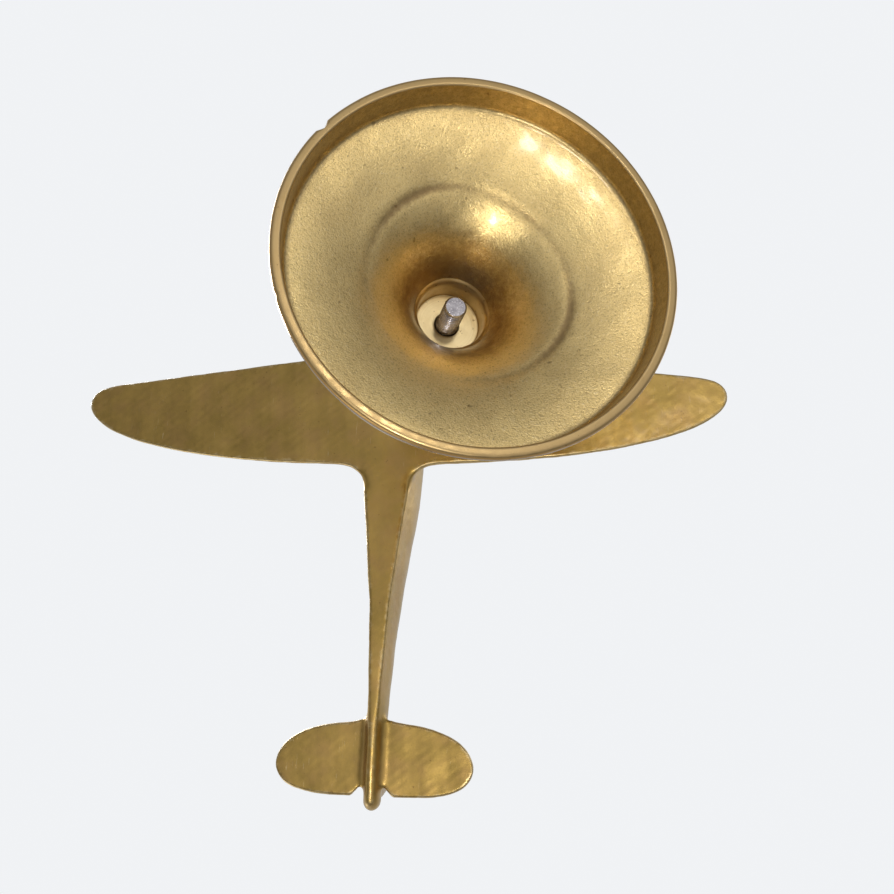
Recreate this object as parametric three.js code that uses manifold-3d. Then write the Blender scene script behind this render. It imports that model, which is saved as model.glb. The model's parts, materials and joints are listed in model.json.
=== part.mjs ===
// A cast-brass aeroplane ornament, banked on a hollow bell stand. Millimetres, +Z up, nose towards -Y.
import * as THREE from 'three';
import { mergeVertices } from 'three/addons/utils/BufferGeometryUtils.js';
import Module from 'manifold-3d';

const wasm = await Module();
wasm.setup();

// Gap kept between two pieces that touch.
const GAP = 0.3;

// Where the stand's axis is, measured from the middle of the whole object's outline.
const FOOT_X = 2;
const FOOT_Y = -30;

// Bell base.
const FOOT_R = 48.75;
const FOOT_BAND_H = 7;
const MOUTH_R = 46.1;
const STEP_R = 44.6;
const STEP_Z = 7.9;
const DISH_R = 25.3;
const DISH_Z = 14.4;
const NECK_MOUTH_R = 10.1;
const NECK_MOUTH_Z = 32.6;
const LAND_R = 8.7;
const LAND_Z = 40.3;
const NECK_R = 13;
const BELL_TOP_R = 11;
const BELL_TOP_Z = 50;

// Pillar and the two steel studs.
const PILLAR_BOTTOM = BELL_TOP_Z + GAP;
const PILLAR_TOP = 106.7;
const PILLAR_WAIST_R = 4.4;
const STUD_R = 3;
const STUD_BOTTOM = 28.4;
const STUD_TOP = 62.7;
const UPPER_STUD_R = 2.5;
const UPPER_STUD_BOTTOM = 97.3;
const UPPER_STUD_TOP = 117.7;
const STUD_CHAMFER = 0.7;

// Aeroplane. Its own frame has x to port, y aft, z up, and z = 0 on the flat underside.
const BANK = THREE.MathUtils.degToRad(20);
const AIRFRAME_Y = -4;
const THRUST_HEIGHT = 125.6;
const THRUST_Z = 11.5;
const NOSE_Y = -46;
const NOSE_R = 7.6;
const TAIL_Y = 130.6;
const HALF_SPAN = 110.5;
const DIHEDRAL = THREE.MathUtils.degToRad(3);
const TIP_Y = -2;
const ROOT_LEAD = 16.4;
const TIP_LEAD = 5.9;
const ROOT_TRAIL = 22.3;
const WING_ROOT_T = 5.6;
const WING_TIP_T = 2;
const TAIL_HALF_SPAN = 31;
const TAIL_MID_Y = 117.5;
const TAIL_LEAD = 13;
const TAIL_TRAIL = 9;
const TAIL_UNDER_Z = 5.2;
const TAIL_T = 2.6;
const BOSS_R = 6.4;
const BOSS_BOTTOM = PILLAR_TOP + GAP;

// Propeller on the nose.
const SHAFT_R = 1.5;
const SHAFT_HEAD_R = 2.8;
const HUB_R = 7.2;
const HUB_DEPTH = 5;
const WASHER_R = 4.2;
const WASHER_T = 1;
const BLADE_COUNT = 3;
const BLADE_TIP_R = 29;
const SPINNER_LENGTH = 9.5;

const SEGMENTS = 48;
const SMALL_SEGMENTS = 24;

// ---------- helpers ----------

function material(color, roughness, metalness) {
  return new THREE.MeshStandardMaterial({ color, roughness, metalness });
}

const castBrass = () => material(0xa98a4c, 0.42, 1);
const turnedBrass = () => material(0xbf9d58, 0.3, 1);
const steel = () => material(0x8f9096, 0.3, 1);

function named(name, geometry, finish) {
  const mesh = new THREE.Mesh(geometry, finish);
  mesh.name = name;
  return mesh;
}

function toSolid(geometry) {
  const bare = geometry.clone();
  bare.deleteAttribute('normal');
  bare.deleteAttribute('uv');
  const merged = mergeVertices(bare, 1e-4);
  return new wasm.Manifold(new wasm.Mesh({
    numProp: 3,
    vertProperties: new Float32Array(merged.attributes.position.array),
    triVerts: new Uint32Array(merged.index.array),
  }));
}

function toGeometry(solid) {
  const mesh = solid.getMesh();
  const geometry = new THREE.BufferGeometry();
  geometry.setAttribute('position', new THREE.BufferAttribute(mesh.vertProperties, 3));
  geometry.setIndex(new THREE.BufferAttribute(mesh.triVerts, 1));
  return geometry;
}

// Joins a list of geometries, then cuts a second list away from them.
function combine(added, removed = []) {
  let solid = toSolid(added[0]);
  for (const geometry of added.slice(1)) {
    solid = solid.add(toSolid(geometry));
  }
  for (const geometry of removed) {
    solid = solid.subtract(toSolid(geometry));
  }
  return toGeometry(solid);
}

// Turns a profile of [radius, height] pairs about the Z axis.
function turned(profile, segments) {
  const points = profile.map(([r, z]) => new THREE.Vector2(r, z));
  return new THREE.LatheGeometry(points, segments).rotateX(Math.PI / 2);
}

function bezier(points, divisions) {
  const vectors = points.map(([r, z]) => new THREE.Vector2(r, z));
  const curve = vectors.length === 4
    ? new THREE.CubicBezierCurve(...vectors)
    : new THREE.QuadraticBezierCurve(...vectors);
  return curve.getPoints(divisions).map((p) => [p.x, p.y]);
}

function rod(radius, bottom, top, segments = SMALL_SEGMENTS) {
  return new THREE.CylinderGeometry(radius, radius, top - bottom, segments)
    .rotateX(Math.PI / 2)
    .translate(0, 0, (bottom + top) / 2);
}

// A closed body: rings of a cylinder moved to where place(ring, angle) puts them.
// ring runs from 0 to 1 and angle from 0 to 2 pi. The end faces are flat.
function loft(segments, rings, place) {
  const geometry = new THREE.CylinderGeometry(1, 1, 1, segments, rings);
  const position = geometry.attributes.position;
  for (let i = 0; i < position.count; i += 1) {
    const [x, y, z] = [position.getX(i), position.getY(i), position.getZ(i)];
    const onCap = Math.hypot(x, z) < 1e-6;
    const angle = Math.atan2(z, x);
    const [px, py, pz] = place(0.5 + y, onCap ? null : angle);
    position.setXYZ(i, px, py, pz);
  }
  return geometry;
}

function smoothstep(low, high, value) {
  return THREE.MathUtils.smoothstep(value, low, high);
}

// A smooth curve through [y, value] pairs.
function along(pairs) {
  const curve = new THREE.SplineCurve(pairs.map(([y, v]) => new THREE.Vector2(y, v)));
  const samples = curve.getPoints(400);
  return (y) => {
    const next = samples.findIndex((p) => p.x >= y);
    if (next < 1) {
      return next === 0 ? samples[0].y : samples[samples.length - 1].y;
    }
    const [a, b] = [samples[next - 1], samples[next]];
    return THREE.MathUtils.lerp(a.y, b.y, (y - a.x) / (b.x - a.x));
  };
}

function superPower(value, exponent) {
  return Math.sign(value) * Math.abs(value) ** exponent;
}

// ---------- stand ----------

function bellBase() {
  const mouth = [[MOUTH_R, 0], [MOUTH_R - 0.6, 6.6]];
  const dish = bezier([[STEP_R, STEP_Z], [35, 9.6], [DISH_R, DISH_Z]], 5);
  const funnel = bezier([[DISH_R, DISH_Z], [13.5, 18.5], [NECK_MOUTH_R, NECK_MOUTH_Z]], 6).slice(1);
  const counterbore = [[LAND_R + 0.2, NECK_MOUTH_Z + 2.6], [LAND_R, LAND_Z]];
  const bore = [[STUD_R + GAP, LAND_Z], [STUD_R + GAP, BELL_TOP_Z]];
  const top = [[BELL_TOP_R, BELL_TOP_Z], [BELL_TOP_R + 0.6, BELL_TOP_Z - 0.8]];
  const bead = bezier([[BELL_TOP_R + 0.6, 47.4], [NECK_R + 2.6, 46.6], [NECK_R + 0.2, 43.6]], 4);
  const flare = bezier([[NECK_R, 41], [15.5, 20], [33, 11.5], [45.2, 10]], 8);
  const band = bezier([[46.3, 9.2], [46.9, FOOT_BAND_H], [FOOT_R, 1.4]], 4);
  const edge = [[FOOT_R, 0.6], [FOOT_R - 0.5, 0]];
  const profile = [
    ...mouth, ...dish, ...funnel, ...counterbore, ...bore, ...top, ...bead, ...flare, ...band, ...edge,
  ];
  return turned([...profile, profile[0]].reverse(), SEGMENTS);
}

function stud(radius, bottom, top) {
  return turned([
    [0, bottom],
    [radius - STUD_CHAMFER, bottom],
    [radius, bottom + STUD_CHAMFER],
    [radius, top - STUD_CHAMFER],
    [radius - STUD_CHAMFER, top],
    [0, top],
  ], SMALL_SEGMENTS);
}

function pillar() {
  const lowHole = [[0, STUD_TOP + GAP], [STUD_R + GAP, STUD_TOP + GAP], [STUD_R + GAP, PILLAR_BOTTOM]];
  const base = [[9.2, PILLAR_BOTTOM], [9.6, PILLAR_BOTTOM + 0.5]];
  const lowBead = bezier([[9.6, 52.4], [9.9, 55.4], [6.9, 56]], 4);
  const shaft = bezier([[6.3, 57.4], [3.6, 68], [PILLAR_WAIST_R, 84], [5.1, 99.4]], 7);
  const highBead = bezier([[5.6, 100.2], [8.2, 101.6], [5.9, 103]], 4);
  const cap = [[BOSS_R, 103.8], [BOSS_R, PILLAR_TOP - 0.4], [BOSS_R - 0.4, PILLAR_TOP]];
  const bore = UPPER_STUD_R + GAP;
  const highHole = [[bore, PILLAR_TOP], [bore, UPPER_STUD_BOTTOM - GAP], [0, UPPER_STUD_BOTTOM - GAP]];
  const profile = [...lowHole, ...base, ...lowBead, ...shaft, ...highBead, ...cap, ...highHole];
  return turned(profile, SMALL_SEGMENTS);
}

// ---------- aeroplane ----------

const fuselageWidth = along([
  [-46, NOSE_R], [-36, 8.7], [-22, 9.4], [-4, 9.8], [14, 9.7], [26, 9.3], [36, 8.6], [48, 7],
  [67, 4.9], [84, 3.7], [105, 3], [118, 2.9], [TAIL_Y, 2.7],
]);
const fuselageBottom = along([
  [-46, THRUST_Z - NOSE_R], [-34, 1.6], [-20, 0.2], [-8, 0], [30, 0], [60, 0.1], [90, 0.7], [118, 1.6],
  [TAIL_Y, 2.6],
]);
const fuselageTop = along([
  [-46, THRUST_Z + NOSE_R], [-34, 20.8], [-14, 23], [4, 24.4], [22, 25.4], [36, 24.8], [52, 22.8],
  [70, 19.8], [90, 16.4], [110, 13.4], [TAIL_Y, 11.4],
]);

// Round at the nose, then flat-sided with rounded corners, and rounder again at the tail.
function fuselage() {
  return loft(20, 34, (ring, angle) => {
    const y = THREE.MathUtils.lerp(NOSE_Y, TAIL_Y, ring);
    const squareness = 1 - 0.5 * smoothstep(-44, -14, y) + 0.2 * smoothstep(60, 120, y);
    const middle = (fuselageTop(y) + fuselageBottom(y)) / 2;
    const half = (fuselageTop(y) - fuselageBottom(y)) / 2;
    if (angle === null) {
      return [0, y, middle];
    }
    const round = ring > 0.999 ? 0.55 : 1;
    const x = superPower(Math.cos(angle), squareness) * fuselageWidth(y) * round;
    const z = superPower(Math.sin(angle), squareness) * half * round;
    return [x, y, middle + z];
  });
}

function wingLead(s) {
  const reach = Math.abs(s) / HALF_SPAN;
  const round = Math.sqrt(Math.max(0, 1 - reach ** 36));
  return TIP_Y - THREE.MathUtils.lerp(ROOT_LEAD, TIP_LEAD, reach) * round;
}

function wingTrail(s) {
  const reach = Math.abs(s) / HALF_SPAN;
  const sweep = Math.sqrt(Math.max(0, 1 - reach ** 2.15));
  const rootFillet = 7.5 * Math.exp(-Math.max(0, Math.abs(s) - 7.2) / 2.6);
  return TIP_Y + (ROOT_TRAIL - TIP_Y) * sweep + rootFillet;
}

// A wing section: flat below, arched above. phase runs round the section.
function wingSection(lead, trail, thickness, angle) {
  if (angle === null) {
    return [(lead + trail) / 2, thickness / 2];
  }
  const y = (lead + trail) / 2 - Math.cos(angle) * (trail - lead) / 2;
  const along01 = (y - lead) / (trail - lead);
  const arch = superPower(Math.sin(angle), 0.75);
  const edge = 0.28;
  const z = arch > 0
    ? thickness * (edge + (1 - edge) * arch * (1 - 0.35 * along01))
    : thickness * edge * (1 - Math.min(1, -arch * 1.6));
  return [y, z];
}

function wing() {
  return loft(16, 34, (ring, angle) => {
    const s = HALF_SPAN * Math.sin((ring - 0.5) * Math.PI) * 0.9995;
    const reach = Math.abs(s) / HALF_SPAN;
    const thickness = THREE.MathUtils.lerp(WING_ROOT_T, WING_TIP_T, reach);
    const [y, z] = wingSection(wingLead(s), wingTrail(s), thickness, angle);
    return [s * Math.cos(DIHEDRAL), y, z + Math.abs(s) * Math.sin(DIHEDRAL)];
  });
}

function tailLead(s) {
  return TAIL_MID_Y - TAIL_LEAD * Math.sqrt(Math.max(0, 1 - (Math.abs(s) / TAIL_HALF_SPAN) ** 2.8));
}

function tailTrail(s) {
  const round = Math.sqrt(Math.max(0, 1 - (Math.abs(s) / TAIL_HALF_SPAN) ** 4.6));
  const notch = 2.6 * (1 - smoothstep(3.5, 7, Math.abs(s)));
  return TAIL_MID_Y + TAIL_TRAIL * round - notch;
}

function tailplane() {
  return loft(12, 20, (ring, angle) => {
    const s = TAIL_HALF_SPAN * Math.sin((ring - 0.5) * Math.PI) * 0.999;
    const middle = (tailLead(s) + tailTrail(s)) / 2;
    const half = (tailTrail(s) - tailLead(s)) / 2;
    const z = TAIL_UNDER_Z + TAIL_T / 2;
    if (angle === null) {
      return [s, middle, z];
    }
    return [s, middle - half * Math.cos(angle), z + superPower(Math.sin(angle), 0.6) * TAIL_T / 2];
  });
}

function fin() {
  const outline = new THREE.Shape();
  outline.moveTo(96, 10);
  outline.bezierCurveTo(104, 15.5, 109, 20, 112.5, 27);
  outline.bezierCurveTo(115, 32.5, 121.5, 34, 124.5, 28.5);
  outline.bezierCurveTo(127, 22, 128.6, 14, 128.6, 5);
  outline.lineTo(110, 5);
  outline.closePath();
  const [thickness, bevel] = [1, 0.6];
  return new THREE.ExtrudeGeometry(outline, {
    depth: thickness,
    bevelEnabled: true,
    bevelThickness: bevel,
    bevelSize: bevel,
    bevelOffset: -bevel,
    bevelSegments: 1,
    curveSegments: 6,
  })
    .translate(0, 0, -thickness / 2)
    .applyMatrix4(new THREE.Matrix4().makeBasis(
      new THREE.Vector3(0, 1, 0),
      new THREE.Vector3(0, 0, 1),
      new THREE.Vector3(1, 0, 0),
    ));
}

function canopy() {
  return new THREE.SphereGeometry(1, 18, 10)
    .rotateX(Math.PI / 2)
    .scale(5.4, 17, 7.4)
    .translate(0, 13, 22.6);
}

// Stand's axis seen from the banked aeroplane: a shape built about Z is turned and moved to it.
function onStandAxis(geometry) {
  const lift = THRUST_HEIGHT - THRUST_Z * Math.cos(BANK);
  const side = THRUST_Z * Math.sin(BANK);
  return geometry.translate(side, -AIRFRAME_Y, -lift).rotateY(-BANK);
}

// A shape built about Z, with +Z forward from the nose's front face, moved onto the thrust line.
function alongNose(geometry) {
  return geometry.rotateX(Math.PI / 2).translate(0, NOSE_Y, THRUST_Z);
}

function airframe() {
  const boss = onStandAxis(rod(BOSS_R, BOSS_BOTTOM, UPPER_STUD_TOP + 2));
  const studHole = onStandAxis(rod(UPPER_STUD_R + GAP, BOSS_BOTTOM - 1, UPPER_STUD_TOP + GAP));
  const shaftHole = alongNose(rod(SHAFT_R + GAP, -12, 1));
  return combine([fuselage(), wing(), tailplane(), fin(), canopy(), boss], [studHole, shaftHole]);
}

// ---------- propeller ----------

const WASHER_BACK = GAP;
const HUB_BACK = WASHER_BACK + WASHER_T + GAP;
const HUB_FRONT = HUB_BACK + HUB_DEPTH;
const SHAFT_HEAD_BACK = HUB_FRONT - 2;

function propellerShaft() {
  return alongNose(turned([
    [0, -11.4],
    [SHAFT_R - 0.3, -11.4],
    [SHAFT_R, -11],
    [SHAFT_R, SHAFT_HEAD_BACK],
    [SHAFT_HEAD_R, SHAFT_HEAD_BACK],
    [SHAFT_HEAD_R, SHAFT_HEAD_BACK + 0.9],
    [SHAFT_HEAD_R - 0.6, SHAFT_HEAD_BACK + 1.4],
    [0, SHAFT_HEAD_BACK + 1.4],
  ], SMALL_SEGMENTS));
}

function thrustWasher() {
  const bore = SHAFT_R + GAP;
  const [back, front] = [WASHER_BACK, WASHER_BACK + WASHER_T];
  return alongNose(turned([
    [bore, back], [WASHER_R, back], [WASHER_R, front], [bore, front], [bore, back],
  ], SMALL_SEGMENTS));
}

function blade(index) {
  const [rootR, rootHalfChord, tipHalfChord] = [4.5, 1.9, 2.2];
  const middle = (HUB_BACK + HUB_FRONT) / 2;
  const geometry = loft(10, 10, (ring, angle) => {
    const r = THREE.MathUtils.lerp(rootR, BLADE_TIP_R, ring);
    const fullness = Math.sin(Math.PI * Math.min(1, 0.12 + 0.88 * ring) ** 0.9) * 1.7;
    const tipRound = Math.sqrt(Math.max(0.02, 1 - ring ** 8));
    const chord = (THREE.MathUtils.lerp(rootHalfChord, tipHalfChord, ring) + fullness) * tipRound;
    const thickness = THREE.MathUtils.lerp(1.5, 0.55, ring);
    const pitch = THREE.MathUtils.degToRad(THREE.MathUtils.lerp(52, 22, ring));
    const [u, v] = angle === null ? [0, 0] : [-Math.cos(angle) * chord, Math.sin(angle) * thickness];
    const across = u * Math.cos(pitch) - v * Math.sin(pitch);
    const forward = u * Math.sin(pitch) + v * Math.cos(pitch);
    return [r, across, middle + forward];
  });
  return geometry.rotateZ((index / BLADE_COUNT) * 2 * Math.PI + Math.PI / 2);
}

function propeller() {
  const hub = rod(HUB_R, HUB_BACK, HUB_FRONT, 32);
  const blades = [];
  for (let i = 0; i < BLADE_COUNT; i += 1) {
    blades.push(blade(i));
  }
  const bore = rod(SHAFT_R + GAP, HUB_BACK - 1, HUB_FRONT + 1);
  const headRecess = rod(SHAFT_HEAD_R + GAP, SHAFT_HEAD_BACK - GAP, HUB_FRONT + 1);
  return alongNose(combine([hub, ...blades], [bore, headRecess]));
}

function spinner() {
  const back = HUB_FRONT + GAP;
  const tip = back + SPINNER_LENGTH;
  const dome = bezier([[HUB_R - 0.2, back], [HUB_R - 0.6, back + 5], [3.2, tip - 0.9], [0, tip]], 8);
  return alongNose(turned([[0, back], ...dome], SMALL_SEGMENTS));
}

// ---------- assembly ----------

const stand = new THREE.Group();
stand.add(
  named('bell_base', bellBase(), castBrass()),
  named('stand_stud', stud(STUD_R, STUD_BOTTOM, STUD_TOP), steel()),
  named('pillar', pillar(), turnedBrass()),
  named('pillar_stud', stud(UPPER_STUD_R, UPPER_STUD_BOTTOM, UPPER_STUD_TOP), steel()),
);

const aeroplane = new THREE.Group();
aeroplane.add(
  named('airframe', airframe(), castBrass()),
  named('propeller_shaft', propellerShaft(), steel()),
  named('thrust_washer', thrustWasher(), turnedBrass()),
  named('propeller', propeller(), castBrass()),
  named('spinner', spinner(), turnedBrass()),
);
aeroplane.rotation.y = BANK;
aeroplane.position.set(
  -THRUST_Z * Math.sin(BANK),
  AIRFRAME_Y,
  THRUST_HEIGHT - THRUST_Z * Math.cos(BANK),
);

const ornament = new THREE.Group();
ornament.add(stand, aeroplane);
ornament.position.set(FOOT_X, FOOT_Y, 0);

export default ornament;
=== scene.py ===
"""Looks of a cast-brass aeroplane ornament on a hollow bell stand.

Shapes are worked out in millimetres, in the stand's or the aeroplane's own frame, and become
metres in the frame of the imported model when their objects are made.
"""
import json
import math

import bpy
import numpy as np
from mathutils import Matrix, Vector
from mathutils.bvhtree import BVHTree


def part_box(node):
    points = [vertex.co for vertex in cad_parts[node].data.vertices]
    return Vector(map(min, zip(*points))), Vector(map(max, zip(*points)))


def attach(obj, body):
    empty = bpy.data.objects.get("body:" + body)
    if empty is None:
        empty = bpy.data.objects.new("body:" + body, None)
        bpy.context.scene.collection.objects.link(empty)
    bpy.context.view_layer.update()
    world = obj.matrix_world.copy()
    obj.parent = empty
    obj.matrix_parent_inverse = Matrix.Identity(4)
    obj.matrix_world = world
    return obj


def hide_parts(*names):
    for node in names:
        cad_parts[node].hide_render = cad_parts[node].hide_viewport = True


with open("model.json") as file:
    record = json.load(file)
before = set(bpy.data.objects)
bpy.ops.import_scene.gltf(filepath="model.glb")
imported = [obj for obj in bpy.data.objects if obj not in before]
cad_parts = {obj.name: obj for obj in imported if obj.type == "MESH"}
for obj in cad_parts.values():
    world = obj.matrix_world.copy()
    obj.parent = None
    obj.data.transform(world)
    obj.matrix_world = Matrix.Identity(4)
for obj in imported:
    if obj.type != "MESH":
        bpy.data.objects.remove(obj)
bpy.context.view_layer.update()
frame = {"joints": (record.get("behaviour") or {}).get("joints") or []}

MM = 0.001


def millimetres(node):
    """A CAD node's lowest and highest corner."""
    return [np.array(corner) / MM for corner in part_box(node)]


# ---------- places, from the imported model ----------

BELL_LOW, BELL_HIGH = millimetres("bell_base")
FOOT = np.array([*(BELL_LOW + BELL_HIGH)[:2] / 2, BELL_LOW[2]])
FOOT_R = (BELL_HIGH - BELL_LOW)[0] / 2
BELL_TOP = BELL_HIGH[2]
STUD_BOTTOM, STUD_TOP = (corner[2] for corner in millimetres("stand_stud"))
PILLAR_BOTTOM, PILLAR_TOP = (corner[2] for corner in millimetres("pillar"))
UPPER_STUD_BOTTOM, UPPER_STUD_TOP = (corner[2] for corner in millimetres("pillar_stud"))
SPIN = frame["joints"][0]
THRUST_POINT = np.array(SPIN["pos_m"]) / MM

# ---------- driving sizes, in millimetres ----------

GAP = 0.3
MOUTH_R = 46.1
DISH_R = 25.3
DISH_Z = 14.4
GROOVE_R = 25.8
NECK_MOUTH_R = 10.1
NECK_MOUTH_Z = 32.6
LAND_R = 8.7
LAND_Z = 40.3
STUD_R = 3
UPPER_STUD_R = 2.5

BANK = math.radians(20)
THRUST_Z = 11.5
NOSE_Y = -46
NOSE_R = 7.6
TAIL_Y = 130.6
TAIL_ROUNDING = 3
HALF_SPAN = 110.5
SPAN_IN_PLAN = 0.9986
TIP_RISE = 5.8
TAIL_HALF_SPAN = 31
TAIL_MID_Y = 117.5
BOSS_R = 6.4
SHAFT_R = 1.5
SHAFT_DEPTH = 11.4
NOSE_BORE_DEPTH = 12
HUB_R = 7.2
HUB_DEPTH = 5
WASHER_R = 4.2
WASHER_T = 1
BLADE_COUNT = 3
BLADE_TIP_R = 29
SPINNER_LENGTH = 9.5

# The joint's point lies on the thrust line, this far in front of the aeroplane's own origin.
THRUST_FORWARD = millimetres("airframe")[1][1] - TAIL_Y - THRUST_POINT[1]

LATHE_SEGMENTS = 288
AIRFRAME_VOXEL = 0.52
PROPELLER_VOXEL = 0.24
AIRFRAME_FACES = 190_000
PROPELLER_FACES = 90_000


# ---------- numbers and curves ----------

def lerp(a, b, t):
    return a + (b - a) * t


def smoothstep(low, high, value):
    t = np.clip((np.asarray(value, float) - low) / (high - low), 0, 1)
    return t * t * (3 - 2 * t)


def bezier(points, count):
    """count + 1 points along the curve that these control points draw."""
    t = np.linspace(0, 1, count + 1)[:, None]
    level = [np.array(point, float) for point in points]
    while len(level) > 1:
        level = [lerp(a, b, t) for a, b in zip(level, level[1:])]
    return level[0]


def along(pairs):
    """A smooth curve through (y, value) pairs, as a function of y."""
    ys, values = np.array(pairs, float).T
    slopes = np.gradient(values, ys)

    def value_at(y):
        y = np.clip(y, ys[0], ys[-1])
        i = np.clip(np.searchsorted(ys, y) - 1, 0, len(ys) - 2)
        width = ys[i + 1] - ys[i]
        t = (y - ys[i]) / width
        start = (1 + 2 * t) * (1 - t) ** 2 * values[i] + t * (1 - t) ** 2 * width * slopes[i]
        end = t ** 2 * (3 - 2 * t) * values[i + 1] - t ** 2 * (1 - t) * width * slopes[i + 1]
        return start + end

    return value_at


def ripple(points, size, seed):
    """Smooth unevenness, mostly from -1 to 1, with lumps of about that size. It never changes."""
    draw = np.random.default_rng(seed)
    waves = draw.normal(size=(18, 3)) * 3.7 / size
    phases = draw.uniform(0, 2 * math.pi, len(waves))
    return np.sin(points @ waves.T + phases).sum(axis=1) / math.sqrt(len(waves))


def spaced(points, step):
    """The polyline with points added, so that none are further apart than step."""
    out = [points[0]]
    for a, b in zip(points, points[1:]):
        pieces = max(1, math.ceil(np.linalg.norm(b - a) / step))
        out.extend(lerp(a, b, i / pieces) for i in range(1, pieces + 1))
    return np.array(out)


def rounded(corners, radius):
    """The polyline with each inner corner turned into a small curve."""
    corners = [np.array(corner, float) for corner in corners]
    out = [corners[0]]
    for before, corner, after in zip(corners, corners[1:], corners[2:]):
        start = corner + (before - corner) * min(0.45, radius / np.linalg.norm(before - corner))
        end = corner + (after - corner) * min(0.45, radius / np.linalg.norm(after - corner))
        out.extend(bezier([start, corner, end], 4))
    out.append(corners[-1])
    return np.array(out)


# ---------- shapes as (points, faces) ----------

def strips(rings, segments, closes):
    """Quads between neighbouring rings of points."""
    i, j = np.meshgrid(np.arange(rings if closes else rings - 1), np.arange(segments), indexing="ij")
    following, beside = (i + 1) % rings, (j + 1) % segments
    near, far = i * segments, following * segments
    return np.stack([near + j, near + beside, far + beside, far + j], axis=-1).reshape(-1, 4).tolist()


def loft(rings, start=None, end=None):
    """A body through rings of points, with its two ends drawn together in the points start and end."""
    count, segments = rings.shape[:2]
    points = rings.reshape(-1, 3)
    faces = strips(count, segments, closes=start is None)
    for tip, first in ((start, 0), (end, (count - 1) * segments)):
        if tip is not None:
            points = np.vstack([points, tip])
            around = np.arange(segments)
            middle = np.full(segments, len(points) - 1)
            fan = np.stack([around + first, (around + 1) % segments + first, middle], axis=1)
            faces += (fan[:, ::-1] if first == 0 else fan).tolist()
    return points, faces


def capped(rings):
    """A body through rings of points, closed at both ends in the end ring's middle."""
    rings = np.array(rings)
    return loft(rings, rings[0].mean(axis=0), rings[-1].mean(axis=0))


def turned(profile, segments=LATHE_SEGMENTS):
    """Turns (radius, height) pairs about the Z axis. The profile ends on the axis, or closes on itself."""
    profile = np.asarray(profile, float)
    on_axis = profile[0, 0] == 0
    ring_profile = profile[1:-1] if on_axis else profile
    angle = np.linspace(0, 2 * math.pi, segments, endpoint=False)
    radius, height = ring_profile[:, :1], ring_profile[:, 1:]
    rings = np.stack([radius * np.cos(angle), radius * np.sin(angle), height + 0 * angle], axis=-1)
    if on_axis:
        return loft(rings, [0, 0, profile[0, 1]], [0, 0, profile[-1, 1]])
    return loft(rings)


def rod(radius, bottom, top, segments=96):
    edge = [[0, bottom], [radius, bottom], [radius, top], [0, top]]
    return turned(np.vstack([edge[0], rounded(edge, 0.3)[1:-1], edge[-1]]), segments)


def joined(shapes):
    """Several shapes as one list of points and one of faces."""
    points, faces = [], []
    for shape_points, shape_faces in shapes:
        first = sum(len(p) for p in points)
        points.append(shape_points)
        faces += [[first + corner for corner in face] for face in shape_faces]
    return np.vstack(points), faces


def moved(shape, change):
    """The shape with its points taken through a function."""
    return change(shape[0]), shape[1]


# ---------- meshes ----------

def mesh_of(shape, name="shape"):
    points, faces = shape
    mesh = bpy.data.meshes.new(name)
    mesh.from_pydata(np.asarray(points, float).tolist(), [], faces)
    mesh.update()
    return mesh


def coordinates(mesh):
    flat = np.empty(len(mesh.vertices) * 3, np.float32)
    mesh.vertices.foreach_get("co", flat)
    return flat.reshape(-1, 3).astype(float)


def normals(mesh):
    flat = np.empty(len(mesh.vertices) * 3, np.float32)
    mesh.vertex_normals.foreach_get("vector", flat)
    return flat.reshape(-1, 3).astype(float)


def edge_ends(mesh):
    flat = np.empty(len(mesh.edges) * 2, np.int32)
    mesh.edges.foreach_get("vertices", flat)
    return flat.reshape(-1, 2)


def neighbour_mean(values, ends):
    """Each point's neighbours' mean, for a column of values or for points."""
    count = len(values)
    one, other = ends.T
    number = np.bincount(ends.ravel(), minlength=count).clip(1)
    columns = values.reshape(count, -1)
    total = np.stack([
        np.bincount(one, columns[other, k], count) + np.bincount(other, columns[one, k], count)
        for k in range(columns.shape[1])
    ], axis=1)
    return (total / number[:, None]).reshape(values.shape)


def modified(mesh, kind, **settings):
    """A new mesh: this one with a modifier applied. The old one is removed."""
    holder = bpy.data.objects.new("holder", mesh)
    bpy.context.scene.collection.objects.link(holder)
    modifier = holder.modifiers.new(kind.lower(), kind)
    for name, value in settings.items():
        setattr(modifier, name, value)
    evaluated = holder.evaluated_get(bpy.context.evaluated_depsgraph_get())
    result = bpy.data.meshes.new_from_object(evaluated)
    bpy.data.objects.remove(holder)
    bpy.data.meshes.remove(mesh)
    return result


def with_points(mesh, points):
    mesh.vertices.foreach_set("co", points.astype(np.float32).ravel())
    mesh.update()
    return mesh


def nearest(tree, points):
    """For each point, the nearest point of a surface and how far it is."""
    found, distance = np.empty_like(points), np.empty(len(points))
    for i, point in enumerate(points):
        place, _, _, distance[i] = tree.find_nearest(point)
        found[i] = place
    return found, distance


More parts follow.
